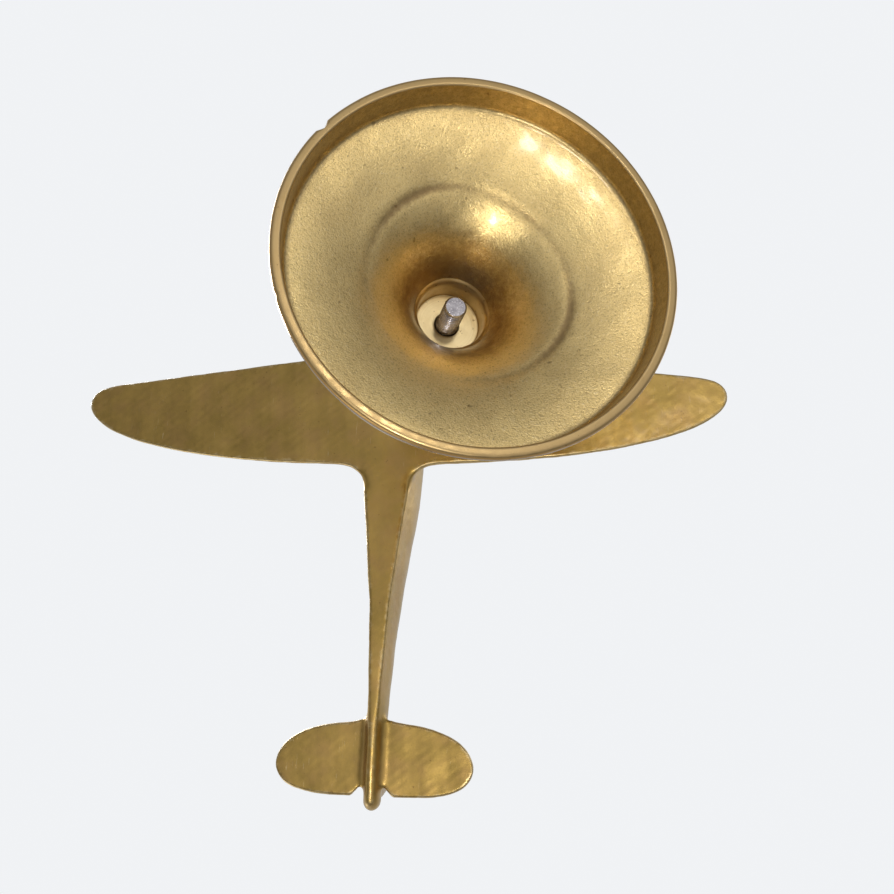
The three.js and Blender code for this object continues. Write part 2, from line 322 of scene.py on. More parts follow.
def cast_in_one(parts, voxel, fillet=2.2, rounds=26):
    """One casting from overlapping closed shapes: their outer skin, exact away from where they meet,
    and filleted where they meet."""
    mesh = modified(mesh_of(joined(parts)), "REMESH", mode="VOXEL", voxel_size=voxel)
    points, ends = coordinates(mesh), edge_ends(mesh)
    trees = [BVHTree.FromPolygons(p.tolist(), f) for p, f in parts]
    found = [nearest(tree, points) for tree in trees]
    order = np.argsort([distance for _, distance in found], axis=0)
    row = np.arange(len(points))
    places = np.array([place for place, _ in found])
    distances = np.array([distance for _, distance in found])
    closest, second = places[order[0], row], distances[order[1], row]
    meeting = (1 - smoothstep(0.4, fillet, second))[:, None]
    points = lerp(closest, points, meeting)

    # The voxels' stepped rows are evened out along each part's own skin.
    for _ in range(3):
        points = lerp(points, neighbour_mean(points, ends), 0.6)
        for i, tree in enumerate(trees):
            own = (order[0] == i) & (second > 0.4)
            points[own] = lerp(nearest(tree, points[own])[0], points[own], meeting[own])
    for _ in range(rounds):
        points = lerp(points, neighbour_mean(points, ends), 0.6 * meeting)
    return with_points(mesh, points)


def cut(mesh, shape):
    """The mesh with a closed shape cut away from it."""
    cutter = bpy.data.objects.new("cutter", mesh_of(shape))
    bpy.context.scene.collection.objects.link(cutter)
    result = modified(mesh, "BOOLEAN", operation="DIFFERENCE", solver="MANIFOLD", object=cutter)
    bpy.data.objects.remove(cutter)
    return result


def thinned(mesh, most):
    """The mesh with at most that many triangles."""
    mesh.calc_loop_triangles()
    count = len(mesh.loop_triangles)
    return modified(mesh, "DECIMATE", ratio=most / count) if count > most else mesh


def edge_wear(mesh, spread):
    """How far each point stands out of its surroundings, from -1 in a hollow to 1 on an edge."""
    points, ends = coordinates(mesh), edge_ends(mesh)
    around = points
    for _ in range(spread):
        around = neighbour_mean(around, ends)
    out = ((points - around) * normals(mesh)).sum(axis=1)
    for _ in range(2):
        out = neighbour_mean(out, ends)
    return np.clip(out / 0.12, -1, 1)


def spread_over(voxel):
    """The rounds of averaging that make worn edges equally wide at any voxel size."""
    return max(1, round(0.55 / voxel ** 2))


def set_attribute(mesh, name, values):
    attribute = mesh.attributes.new(name, "FLOAT", "POINT")
    attribute.data.foreach_set("value", np.asarray(values, np.float32))


def show(name, mesh, to_frame, finishes, body, node, sharp=40):
    """Makes the finished object in metres, on its body and in place of its CAD node."""
    with_points(mesh, to_frame(coordinates(mesh)) * MM)
    if volume_of(mesh) < 0:
        mesh.flip_normals()
    mesh.shade_smooth()
    mesh.set_sharp_from_angle(angle=math.radians(sharp))
    if mesh.materials:
        mesh.materials.clear()
    for finish in finishes:
        mesh.materials.append(finish)
    piece = bpy.data.objects.new(name, mesh)
    mesh.name = name
    bpy.context.scene.collection.objects.link(piece)
    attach(piece, body)
    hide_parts(node)


def volume_of(mesh):
    mesh.calc_loop_triangles()
    corners = np.empty(len(mesh.loop_triangles) * 3, np.int32)
    mesh.loop_triangles.foreach_get("vertices", corners)
    a, b, c = coordinates(mesh)[corners.reshape(-1, 3)].transpose(1, 0, 2)
    return (a * np.cross(b, c)).sum() / 6


# ---------- frames of reference ----------

def on_stand(points):
    return points + FOOT


def on_aeroplane(points):
    """From the aeroplane's frame, x to port, y aft and z = 0 on its flat underside, to the model's."""
    cos, sin = math.cos(BANK), math.sin(BANK)
    origin = np.array([
        THRUST_POINT[0] - THRUST_Z * sin,
        THRUST_POINT[1] + THRUST_FORWARD,
        THRUST_POINT[2] - THRUST_Z * cos,
    ])
    x, y, z = points.T
    return np.stack([x * cos + z * sin, y, z * cos - x * sin], axis=1) + origin


def on_stand_axis(points):
    """A shape about the stand's axis, seen from the aeroplane's frame."""
    cos, sin = math.cos(BANK), math.sin(BANK)
    origin = on_aeroplane(np.zeros((1, 3)))[0]
    x, y, z = (points + FOOT - origin).T
    return np.stack([x * cos - z * sin, y, z * cos + x * sin], axis=1)


def along_nose(points):
    """From a frame with +Z forward from the nose's face to the aeroplane's."""
    x, y, z = points.T
    return np.stack([x, NOSE_Y - z, y + THRUST_Z], axis=1)


# ---------- node graphs ----------

COAT_IOR = 1.5


class Finish:
    """A material and short ways to add nodes to it."""

    def __init__(self, name):
        self.material = bpy.data.materials.new(name)
        self.material.use_nodes = True
        self.tree = self.material.node_tree
        self.shader = self.tree.nodes["Principled BSDF"]
        self.place = self.add("ShaderNodeTexCoord").outputs["Object"]

    def add(self, kind, inputs=(), **settings):
        node = self.tree.nodes.new(kind)
        for name, value in settings.items():
            setattr(node, name, value)
        for socket, value in dict(inputs).items():
            self.set(node.inputs[socket], value)
        return node

    def set(self, socket, value):
        if isinstance(value, bpy.types.NodeSocket):
            self.tree.links.new(value, socket)
        else:
            socket.default_value = value

    def noise(self, size_mm, detail=3, rough=0.55, place=None, distortion=0.0):
        """Noise from 0 to 1 whose lumps are about that size."""
        return self.add("ShaderNodeTexNoise", {
            "Vector": place or self.place, "Scale": 1 / (size_mm * MM), "Detail": detail,
            "Roughness": rough, "Distortion": distortion,
        }).outputs["Fac"]

    def math(self, operation, a, b=0.0, clamp=False):
        return self.add("ShaderNodeMath", {0: a, 1: b}, operation=operation, use_clamp=clamp).outputs[0]

    def span(self, value, low, high, to_low=0.0, to_high=1.0):
        """Maps low..high to to_low..to_high, smoothly and clamped."""
        return self.add("ShaderNodeMapRange", {
            "Value": value, "From Min": low, "From Max": high, "To Min": to_low, "To Max": to_high,
        }, interpolation_type="SMOOTHSTEP").outputs[0]

    def blend(self, factor, a, b, how="MIX"):
        node = self.add("ShaderNodeMix", data_type="RGBA", blend_type=how)
        for socket, value in ((node.inputs[0], factor), (node.inputs[6], a), (node.inputs[7], b)):
            self.set(socket, value if isinstance(value, (bpy.types.NodeSocket, float)) else (*value, 1))
        return node.outputs[2]

    def attribute(self, name):
        return self.add("ShaderNodeAttribute", attribute_name=name).outputs["Fac"]

    def bumps(self, *layers):
        """Stacks (height, depth in mm) layers and puts the result on the shader."""
        normal = None
        for height, depth in layers:
            node = self.add("ShaderNodeBump", {"Height": height, "Distance": depth * MM})
            if normal:
                self.set(node.inputs["Normal"], normal)
            normal = node.outputs["Normal"]
        self.set(self.shader.inputs["Normal"], normal)

    def metal(self, colour, roughness, coat=None):
        """Makes the shader a metal, under a (weight, roughness) clear coat if one is given."""
        self.set(self.shader.inputs["Base Color"], colour)
        self.set(self.shader.inputs["Roughness"], roughness)
        self.shader.inputs["Metallic"].default_value = 1
        if coat:
            for socket, value in zip(("Coat Weight", "Coat Roughness", "Coat IOR"), (*coat, COAT_IOR)):
                self.shader.inputs[socket].default_value = value

    def scratches(self, angle, width_mm, amount):
        """Thin lines near one direction, from 0 to 1."""
        turn = self.add("ShaderNodeMapping", {
            "Vector": self.place, "Rotation": (0.3, 0.2, angle), "Scale": (1, 0.05, 0.4),
        }).outputs[0]
        lines = self.noise(width_mm, detail=2, place=turn, distortion=0.15)
        patches = self.span(self.noise(9, detail=1, place=turn), 0.5, 0.62)
        return self.math("MULTIPLY", self.span(lines, 1 - amount, 1 - amount + 0.05), patches)


# ---------- materials ----------

CLEAN_BRASS = (0.90, 0.73, 0.42)
PALE_BRASS = (0.78, 0.62, 0.34)
CAST_BRASS = (0.84, 0.63, 0.27)
BRIGHT_BRASS = (0.66, 0.49, 0.225)
DULL_BRASS = (0.53, 0.375, 0.145)
RUBBED_BRASS = (0.53, 0.345, 0.088)
OLIVE_BRASS = (0.42, 0.275, 0.062)
BROWN_PAINTED_SHADE_AND_DARKENING = (0.34, 0.22, 0.09)
BROWN_PATINA = (0.20, 0.105, 0.025)
SHADED_CAST_BRASS = (0.76, 0.56, 0.235)
TOOLED_BRASS = (0.82, 0.64, 0.34)
AMBER_PAINTED_SHADE_AND_DARKENING = (0.42, 0.25, 0.08)
RED_TARNISH = (0.47, 0.27, 0.105)
TURNED_TARNISH = (0.40, 0.24, 0.075)
LIGHT_STEEL = (0.50, 0.475, 0.50)
DARK_STEEL = (0.32, 0.30, 0.325)
CUT_STEEL = (0.66, 0.64, 0.65)
FLOOR_LIGHT = (0.60, 0.60, 0.605)
FLOOR_DIM = (0.585, 0.585, 0.59)
FLOOR_FAR_PAINTED_LIGHT = (0.665, 0.672, 0.685)
BACKGROUND = (0.875, 0.89, 0.91, 1)


def sand_cast_brass():
    """Inside the bell: a sparkling sand-cast grain whose colour specks are partly painted sparkle, brown in
    the funnel and in the corner by the rim, and painted shade along the ring groove.
    """
    f = Finish("sand_cast_brass")
    painted_shade_and_darkening = f.attribute("painted_shade_and_darkening")
    cloud = f.noise(14, detail=4, rough=0.6)
    grain = f.noise(0.85, detail=4, rough=0.7)
    fine = f.noise(0.42, detail=2, rough=0.6)
    colour = f.blend(f.span(cloud, 0.34, 0.68), CAST_BRASS, SHADED_CAST_BRASS)
    # The cast grain's speckle, painted brighter and darker so that it also stands in for the grain's
    # sparkling glints: painted highlights.
    colour = f.blend(f.span(grain, 0.56, 0.74, 0.0, 0.55), colour, CLEAN_BRASS)
    colour = f.blend(f.span(grain, 0.44, 0.3, 0.0, 0.5), colour, BROWN_PAINTED_SHADE_AND_DARKENING)
    colour = f.blend(f.span(fine, 0.54, 0.72, 0.0, 0.5), colour, CLEAN_BRASS)
    colour = f.blend(f.span(fine, 0.46, 0.32, 0.0, 0.45), colour, BROWN_PAINTED_SHADE_AND_DARKENING)
    # Painted shade along the ring groove, and the darker funnel, wall and corner, made patchy, in brown.
    patchy = f.math("ADD", painted_shade_and_darkening, f.span(f.noise(1.6, detail=4, rough=0.7), 0.3, 0.7, -0.14, 0.14))
    colour = f.blend(f.span(patchy, 0.1, 1.0, 0.0, 0.88), colour, BROWN_PAINTED_SHADE_AND_DARKENING)
    specks = f.span(f.noise(1.7, detail=1), 0.73, 0.79, 0.0, 0.5)
    colour = f.blend(specks, colour, BROWN_PATINA)
    f.metal(colour, f.span(f.noise(3, detail=3), 0.3, 0.7, 0.29, 0.38), coat=(0.5, 0.14))
    f.bumps((f.noise(2.6, detail=3), 0.025), (grain, 0.055), (fine, 0.07))
    return f.material


def tool_rings(f, pitch_mm, about_xy):
    """Fine rings about a vertical axis, as a lathe tool leaves on a flat or conical face, from 0 to 1."""
    offset = f.add("ShaderNodeVectorMath", {0: f.place, 1: (-about_xy[0] * MM, -about_xy[1] * MM, 0)})
    parts = f.add("ShaderNodeSeparateXYZ", {0: offset.outputs[0]})
    radius = f.math("SQRT", f.math("ADD", f.math("MULTIPLY", parts.outputs[0], parts.outputs[0]),
                                   f.math("MULTIPLY", parts.outputs[1], parts.outputs[1])))
    depth = f.math("ADD", radius, f.math("MULTIPLY", parts.outputs[2], 0.8))
    line = f.add("ShaderNodeCombineXYZ", {0: depth})
    return f.noise(pitch_mm, detail=2, place=line.outputs[0])


def machined_brass():
    """The rim's face, the land and the counterbore: pale metal with fine tool rings."""
    f = Finish("machined_brass")
    rings = tool_rings(f, 0.3, FOOT)
    painted_shade_and_darkening = f.attribute("painted_shade_and_darkening")
    colour = f.blend(f.span(rings, 0.35, 0.7), CLEAN_BRASS, TOOLED_BRASS)
    colour = f.blend(f.span(f.noise(6, detail=4), 0.5, 0.72, 0.0, 0.4), colour, BRIGHT_BRASS)
    # Painted shade in the counterbore and the bore, and the rim's face darker, in amber.
    colour = f.blend(f.span(painted_shade_and_darkening, 0.05, 1.0), colour, AMBER_PAINTED_SHADE_AND_DARKENING)
    nicks = f.span(f.noise(1.1, detail=2), 0.68, 0.74, 0.0, 0.6)
    colour = f.blend(nicks, colour, BROWN_PATINA)
    f.metal(colour, f.span(f.noise(2.4, detail=3), 0.3, 0.7, 0.28, 0.42))
    f.bumps((rings, 0.02), (f.noise(0.7, detail=3), 0.012))
    return f.material


def rubbed_brass(name, dark, light, polish):
    """Cast brass rubbed smooth and aged: mottled olive and brown, bright on worn edges, darker in hollows."""
    f = Finish(name)
    wear = f.attribute("wear")
    cloud = f.noise(24, detail=5, rough=0.62, distortion=0.4)
    mottle = f.noise(3.2, detail=4, rough=0.65)
    colour = f.blend(f.span(cloud, 0.36, 0.66), light, dark)
    colour = f.blend(f.span(mottle, 0.42, 0.7, 0.0, 0.5), colour, RUBBED_BRASS)
    tint = f.blend(f.span(f.noise(9, detail=3), 0.4, 0.7, 0.0, 0.35), colour, RED_TARNISH)
    hollows = f.span(wear, -0.12, -0.7, 0.0, 0.75)
    colour = f.blend(hollows, tint, BROWN_PATINA)
    ragged = f.math("ADD", wear, f.span(f.noise(1.6, detail=3), 0.3, 0.7, -0.2, 0.2))
    colour = f.blend(f.span(ragged, 0.3, 0.9, 0.0, 0.55), colour, PALE_BRASS)
    pits = f.span(f.noise(1.3, detail=2), 0.71, 0.76, 0.0, 0.55)
    colour = f.blend(pits, colour, BROWN_PATINA)
    lines = f.math("MAXIMUM", f.scratches(0.5, 0.32, 0.32), f.scratches(-1.1, 0.24, 0.31))
    colour = f.blend(f.math("MULTIPLY", lines, 0.55), colour, PALE_BRASS)
    f.metal(colour, f.span(mottle, 0.3, 0.7, polish, polish + 0.13), coat=(0.6, 0.25))
    f.bumps((f.noise(5, detail=3), 0.05), (f.noise(0.9, detail=4, rough=0.7), 0.028), (lines, -0.01))
    return f.material


def turned_brass(name, about_xy):
    """Lathe-turned brass: fine tool rings, a light tarnish and a few handling marks."""
    f = Finish(name)
    rings = tool_rings(f, 0.22, about_xy)
    colour = f.blend(f.span(f.noise(12, detail=5, rough=0.6), 0.36, 0.66), BRIGHT_BRASS, DULL_BRASS)
    colour = f.blend(f.span(rings, 0.5, 0.8, 0.0, 0.35), colour, PALE_BRASS)
    colour = f.blend(f.span(f.noise(2.2, detail=4), 0.56, 0.74, 0.0, 0.5), colour, TURNED_TARNISH)
    wear = f.attribute("wear")
    colour = f.blend(f.span(wear, 0.25, 0.8, 0.0, 0.8), colour, PALE_BRASS)
    colour = f.blend(f.span(wear, -0.15, -0.8, 0.0, 0.85), colour, BROWN_PATINA)
    f.metal(colour, f.span(f.noise(4, detail=3), 0.3, 0.7, 0.2, 0.33))
    f.bumps((rings, 0.012), (f.noise(1.4, detail=3), 0.015))
    return f.material


def stud_steel():
    """Plain steel with a grey-mauve cast, faint drawing lines and a mottled cut end."""
    f = Finish("stud_steel")
    fine = f.noise(0.5, detail=3)
    colour = f.blend(f.span(f.noise(2.2, detail=4), 0.35, 0.7), LIGHT_STEEL, DARK_STEEL)
    colour = f.blend(f.span(fine, 0.55, 0.72, 0.0, 0.6), colour, CUT_STEEL)
    f.metal(colour, f.span(fine, 0.3, 0.7, 0.16, 0.28))
    f.bumps((f.noise(0.25, detail=2), 0.006), (fine, 0.012))
    return f.material


# ---------- bell ----------

def bell_runs():
    """The bell's section as named runs of (radius, height), from the mouth up the inside, down the
    outside and across the rim's face."""
    neck, bore = NECK_MOUTH_R, STUD_R + GAP
    return [
        ("wall", 0.55, np.vstack([
            [[MOUTH_R, 0.55], [MOUTH_R - 0.5, 6.0]], bezier([[45.55, 6.5], [45.4, 7.6], [44.6, 7.9]], 6)])),
        ("dish", 0.6, bezier([[44.5, 7.93], [35, 9.6], [DISH_R, DISH_Z]], 34)[1:]),
        ("funnel", 0.55, bezier([[DISH_R, DISH_Z], [14.6, 19.7], [neck, NECK_MOUTH_Z]], 46)[1:]),
        ("counterbore", 0.6, np.vstack([
            bezier([[neck - 0.1, NECK_MOUTH_Z + 0.15], [9.2, 33.4], [9.05, 34.4]], 5),
            rounded([[8.95, 35.2], [LAND_R, LAND_Z], [LAND_R - 1, LAND_Z]], 0.35)[:-1]])),
        ("land", 0.7, rounded([[LAND_R - 0.7, LAND_Z], [bore, LAND_Z], [bore, LAND_Z + 2]], 0.3)),
        ("bore", 1.2, np.array([[bore, LAND_Z + 2.8], [bore, BELL_TOP - 0.5]])),
        ("outside", 0.75, np.vstack([
            rounded([[bore + 0.3, BELL_TOP], [11, BELL_TOP], [11.6, BELL_TOP - 0.8], [11.6, 47.6]], 0.4),
            bezier([[11.7, 47.3], [15.5, 46.6], [13.3, 43.6]], 12),
            bezier([[13.0, 43.1], [12.6, 42.4], [13.0, 41]], 4),
            bezier([[13.05, 40.2], [15.5, 20], [33, 11.5], [45.2, 10]], 60),
            bezier([[45.4, 9.98], [46.3, 9.9], [46.4, 9.0]], 5),
            bezier([[46.5, 8.4], [46.9, 7], [FOOT_R, 1.9]], 10)])),
        ("rim", 0.45, np.vstack([
            bezier([[FOOT_R, 1.2], [FOOT_R, 0.05], [47.75, 0.0]], 8),
            bezier([[46.75, 0.0], [46.3, 0.02], [MOUTH_R, 0.4]], 5)])),
    ]


# Each run's place in the bell's list of finishes.
BELL_FINISH = {
    "wall": 0, "dish": 0, "funnel": 0, "counterbore": 1, "land": 1, "bore": 1, "outside": 2, "rim": 1,
}
BELL_UNEVEN = {"wall": 0.5, "dish": 1, "funnel": 1.2, "outside": 0.35, "rim": 0.15}

# Chips in the rim's outer edge: direction and half angle in radians, and depth.
RIM_CHIPS = ((math.radians(-143.7), 0.030, 0.9), (math.radians(160.9), 0.012, 0.25))


def groove(radius, angle):
    """A shallow ring groove near the dish's inner edge, deep on some sides and rubbed out on others."""
    reach = 0.52 + 0.3 * np.sin(angle + 2.5) + 0.35 * np.sin(2 * angle + 0.3) + 0.15 * np.sin(5 * angle)
    middle = GROOVE_R + 0.5 * np.sin(3 * angle + 1)
    return np.clip(reach, 0, 1) * np.exp(-((radius - middle) / 1.25) ** 2)


def bell():
    runs = bell_runs()
    pieces = [spaced(points, step) for _, step, points in runs]
    run_of = np.concatenate([[i] * len(piece) for i, piece in enumerate(pieces)])
    profile = np.vstack(pieces)
    names = np.array([name for name, _, _ in runs])[run_of]
    mesh = mesh_of(turned(profile))
    points = coordinates(mesh)
    x, y, height = points.T
    radius, angle = np.hypot(x, y), np.arctan2(y, x)
    name = np.repeat(names, LATHE_SEGMENTS)

    # Cast unevenness along the profile's own normal.
    step = np.roll(profile, -1, axis=0) - np.roll(profile, 1, axis=0)
    across = np.stack([step[:, 1], -step[:, 0]], axis=1) / np.linalg.norm(step, axis=1, keepdims=True)
    amount = np.array([BELL_UNEVEN.get(n, 0.0) for n in names])
    for _ in range(6):
        amount = (np.roll(amount, 1) + amount + np.roll(amount, -1)) / 3
    across, amount = np.repeat(across, LATHE_SEGMENTS, axis=0), np.repeat(amount, LATHE_SEGMENTS)
    lumps = 0.08 * ripple(points, 17, 1) + 0.014 * ripple(points, 4.2, 2) + 0.006 * ripple(points, 1.4, 3)
    out = lumps * amount
    inside = np.isin(name, ["dish", "funnel"])
    out = out + np.where(inside, 0.2 * groove(radius, angle), 0)
    radius = radius + out * across[:, 0]
    height = height + out * across[:, 1]

    for middle, width, depth in RIM_CHIPS:
        away = np.abs(np.angle(np.exp(1j * (angle - middle)))) / width
        bite = np.clip(1 - away ** 2, 0, 1) ** 0.7 * depth * (1 - smoothstep(2.2, 3.6, height))
        outer = smoothstep(47.3, 48.6, radius)
        radius = radius - bite * outer

    points = np.stack([radius * np.cos(angle), radius * np.sin(angle), height], axis=1)
    with_points(mesh, points)

    # Darker, browner colour as an attribute: at the neck's mouth, down one side of the funnel, on the inner
    # wall and in the corner by the rim, and on the rim's face, most up its outer rounded edge; painted shade
    # along the ring groove and in the counterbore and the bore.
    side = 0.5 + 0.5 * np.cos(angle - math.radians(-115))
    funnel = smoothstep(23, 10.5, radius) * (0.68 + 0.28 * side)
    painted_shade_and_darkening = np.where(name == "funnel", funnel, 0) + np.where(name == "wall", 0.5, 0)
    # Painted shade along the ring groove.
    painted_shade_and_darkening = painted_shade_and_darkening + np.where(inside, 0.95 * groove(radius, angle), 0)
    corner = np.where(name == "dish", smoothstep(43.2, 44.6, radius) * 0.6, 0)
    # Painted shade in the counterbore and the bore.
    bored = np.where(name == "counterbore", 0.55, 0) + np.where(name == "bore", 1, 0)
    rim = np.where(name == "rim", 0.62 + 0.3 * smoothstep(0.15, 0.7, height), 0)
    set_attribute(mesh, "painted_shade_and_darkening", painted_shade_and_darkening + corner + bored + rim)
    set_attribute(mesh, "wear", edge_wear(mesh, 4))
    finish = np.array([BELL_FINISH[n] for n in names])
    mesh.polygons.foreach_set("material_index", np.repeat(finish, LATHE_SEGMENTS))
    outside = rubbed_brass("bell_outside", DULL_BRASS, BRIGHT_BRASS, 0.2)
    finishes = [sand_cast_brass(), machined_brass(), outside]
    show("bell", mesh, on_stand, finishes, "ornament", "bell_base", sharp=60)


# ---------- stand ----------

def lathe_piece(name, profile, to_frame, finish, body, node, segments=128, sharp=35, change=None):
    shape = turned(profile, segments)
    mesh = mesh_of(moved(shape, change) if change else shape)
    set_attribute(mesh, "wear", edge_wear(mesh, 3))
    show(name, mesh, to_frame, [finish], body, node, sharp)


def on_axis(*stretches):
    """A profile that starts and ends on the axis."""
    inner = np.vstack(stretches)
    return np.vstack([[0, inner[0, 1]], inner, [0, inner[-1, 1]]])


THREAD = {STUD_R: (1.0, 0.5), UPPER_STUD_R: (0.8, 0.42)}


def threaded(radius, bottom, top):
    """Cuts a screw thread with that stud's (pitch, depth) into the points of a turned stud."""
    pitch, depth = THREAD[radius]

    def change(points):
        x, y, z = points.T
        out = np.hypot(x, y)
        turn = np.arctan2(y, x) / (2 * math.pi)
        valley = 0.5 - 0.5 * np.cos(2 * math.pi * (z / pitch - turn))
        runs = smoothstep(bottom + 0.5, bottom + 1.4, z) * smoothstep(top - 0.6, top - 1.5, z)
        runs = runs * (out > radius - 0.01)
        narrower = (out - depth * valley * runs) / np.maximum(out, 1e-6)
        return np.stack([x * narrower, y * narrower, z], axis=1)

    return change


def stud_profile(radius, bottom, top):
    outline = [
        [0.25, bottom], [radius - 0.45, bottom], [radius, bottom + 0.5],
        [radius, top - 0.6], [radius - 0.5, top], [0.25, top],
    ]
    return on_axis(spaced(rounded(outline, 0.12), 0.11))


def pillar_profile():
    low_r, high_r = STUD_R + GAP, UPPER_STUD_R + GAP
    ceiling, floor = STUD_TOP + GAP, UPPER_STUD_BOTTOM - GAP
    low_hole = [[0.3, ceiling], [low_r, ceiling], [low_r, PILLAR_BOTTOM + 0.3]]
    foot = rounded([[low_r + 0.3, PILLAR_BOTTOM], [9.2, PILLAR_BOTTOM], [9.6, 50.8], [9.6, 52.2]], 0.25)
    low_bead = bezier([[9.6, 52.4], [9.9, 55.4], [6.9, 56]], 12)
    cove = bezier([[6.6, 56.2], [6.35, 56.6], [6.3, 57.2]], 4)
    shaft = bezier([[6.3, 57.4], [3.6, 68], [4.4, 84], [5.1, 99.4]], 60)
    collar = bezier([[5.15, 99.6], [5.2, 100], [5.6, 100.2]], 3)
    high_bead = bezier([[5.7, 100.22], [8.2, 101.6], [5.9, 103]], 12)
    cap = rounded([[5.9, 103.3], [BOSS_R, 103.8], [BOSS_R, PILLAR_TOP], [high_r + 0.3, PILLAR_TOP]], 0.35)
    high_hole = [[high_r, PILLAR_TOP - 0.3], [high_r, floor], [0.3, floor]]
    return on_axis(low_hole, foot, low_bead, cove, shaft, collar, high_bead, cap, high_hole)


def stand():
    steel = stud_steel()
    lathe_piece("stand_stud_steel", stud_profile(STUD_R, STUD_BOTTOM, STUD_TOP), on_stand, steel,
                "ornament", "stand_stud", segments=80, sharp=70,
                change=threaded(STUD_R, STUD_BOTTOM, LAND_Z + 0.6))
    lathe_piece("pillar_turned", spaced(pillar_profile(), 0.7), on_stand, turned_brass("turned_brass", FOOT),
                "ornament", "pillar", segments=160)
    lathe_piece("pillar_stud_steel", stud_profile(UPPER_STUD_R, UPPER_STUD_BOTTOM, UPPER_STUD_TOP), on_stand,
                steel, "ornament", "pillar_stud", segments=72, sharp=70,
                change=threaded(UPPER_STUD_R, UPPER_STUD_BOTTOM, UPPER_STUD_TOP))
    return steel


# ---------- airframe ----------

full_width = along([
    [-46, NOSE_R], [-36, 8.7], [-22, 9.4], [-4, 9.8], [14, 9.7], [26, 9.3], [36, 8.6], [48, 7],
    [67, 4.9], [84, 3.7], [105, 3], [118, 2.9], [TAIL_Y, 2.7],
])
belly_width = along([
    [-46, 4], [-30, 7], [0, 8.6], [20, 8.4], [28, 7.9], [34.7, 7], [48, 5.4], [58, 4.4], [67, 3.3],
    [80, 2.6], [92, 2], [106, 1.5], [TAIL_Y, 1.0],
])
keel = along([
    [-46, THRUST_Z - NOSE_R], [-34, 1.6], [-20, 0.2], [-8, 0], [30, 0], [60, 0.1], [90, 0.7], [118, 1.6],
    [TAIL_Y, 2.6],
])
spine = along([
    [-46, THRUST_Z + NOSE_R], [-34, 20.8], [-14, 23], [4, 24.4], [22, 25.4], [36, 24.8], [52, 22.8],
    [70, 19.8], [90, 16.4], [110, 13.4], [TAIL_Y, 11.4],
])


def fuselage():
    """Round at the nose, then with a flat belly, leaning sides and a rounded back."""
    segments = 128
    rounding_starts = TAIL_Y - TAIL_ROUNDING
    rounding = TAIL_Y - TAIL_ROUNDING * (1 - np.sin(np.linspace(0.1, 1.55, 14)))
    ys = np.concatenate([np.linspace(NOSE_Y, rounding_starts, 260), rounding])
    phi = np.linspace(0, 2 * math.pi, segments, endpoint=False)
    cos, sin = np.cos(phi), np.sin(phi)
    rings = []
    for y in ys:
        low, high, full, flat = keel(y), spine(y), full_width(y), belly_width(y)
        middle = low + 0.46 * (high - low)
        below, above = middle - low, high - middle
        tall = np.where(sin > 0, above, below)
        oval = (np.abs(cos / full) ** 2 + np.abs(sin / tall) ** 2) ** -0.5
        back = np.where(sin > 0, (np.abs(cos / full) ** 2.5 + np.abs(sin / above) ** 2.5) ** -0.4,
                        full / np.maximum(np.abs(cos), 1e-3))
        lean = math.atan2(full - flat, below)
        facing = np.abs(cos) * math.cos(lean) - sin * math.sin(lean)
        side = full * math.cos(lean) / np.maximum(facing, 1e-3)
        floor = below / np.maximum(-sin, 1e-3)
        crisp = lerp(26, 7, float(smoothstep(70, 118, y)))
        walls = (back ** -crisp + side ** -crisp + floor ** -crisp) ** (-1 / crisp)
        radius = lerp(oval, walls, float(smoothstep(-45, -22, y)))
        radius = lerp(radius, oval, 0.75 * float(smoothstep(88, 124, y)))
        end = math.sqrt(max(0.02, 1 - max(0, (y - rounding_starts) / TAIL_ROUNDING) ** 2))
        front = 1 - 0.04 * float(smoothstep(NOSE_Y + 1.2, NOSE_Y, y))
        radius = radius * end * front
        rings.append(np.stack([radius * cos, np.full(segments, y), middle + radius * sin], axis=1))
    return capped(rings)


def foil_section(lead, trail, thickness, edge_z, edge):
    """A section flat below and arched above, with small rounded edges: (y, z) pairs."""
    chord = trail - lead
    edge = min(edge, 0.3 * chord)
    theta = np.linspace(0, math.pi, 41)[1:-1]
    share = (1 - np.cos(theta)) / 2
    top_z = edge_z + (thickness - edge_z) * np.sin(theta) ** 0.75 * (1 - 0.35 * share)
    top = np.stack([lead + chord * share, top_z], axis=1)
    turn = np.linspace(0, math.pi / 2, 7)
    back = np.stack([trail - edge + edge * np.cos(turn), edge_z * (1 - np.sin(turn))], axis=1)
    flat = np.stack([np.linspace(trail - edge, lead + edge, 30)[1:-1], np.zeros(28)], axis=1)
    front = np.stack([lead + edge - edge * np.sin(turn), edge_z * (1 - np.cos(turn))], axis=1)
    return np.vstack([top, back, flat, front])


def wing_lead(s):
    reach = abs(s) / HALF_SPAN
    return -2 - lerp(16.4, 5.9, reach) * math.sqrt(max(0, 1 - reach ** 36))


def wing_trail(s):
    reach = abs(s) / HALF_SPAN
    return -2 + 24.3 * math.sqrt(max(0, 1 - reach ** 2.15)) + 7.5 * math.exp(-max(0, abs(s) - 7.2) / 2.6)


def spanwise(half_span, count):
    """Places from tip to tip, closer together towards the tips."""
    return half_span * np.sin(np.linspace(-math.pi / 2, math.pi / 2, count)) * 0.99995


def wing():
    root_bend = 26
    rise = TIP_RISE / (math.hypot(HALF_SPAN, root_bend) - root_bend)
    rings = []
    for s in spanwise(HALF_SPAN, 260):
        thickness = lerp(5.6, 2, abs(s) / HALF_SPAN)
        section = foil_section(wing_lead(s), wing_trail(s), thickness, max(0.7, 0.26 * thickness), 0.6)
        lift = rise * (math.hypot(s, root_bend) - root_bend)
        x = np.full(len(section), s * SPAN_IN_PLAN)
        rings.append(np.stack([x, section[:, 0], section[:, 1] + lift], axis=1))
    return capped(rings)


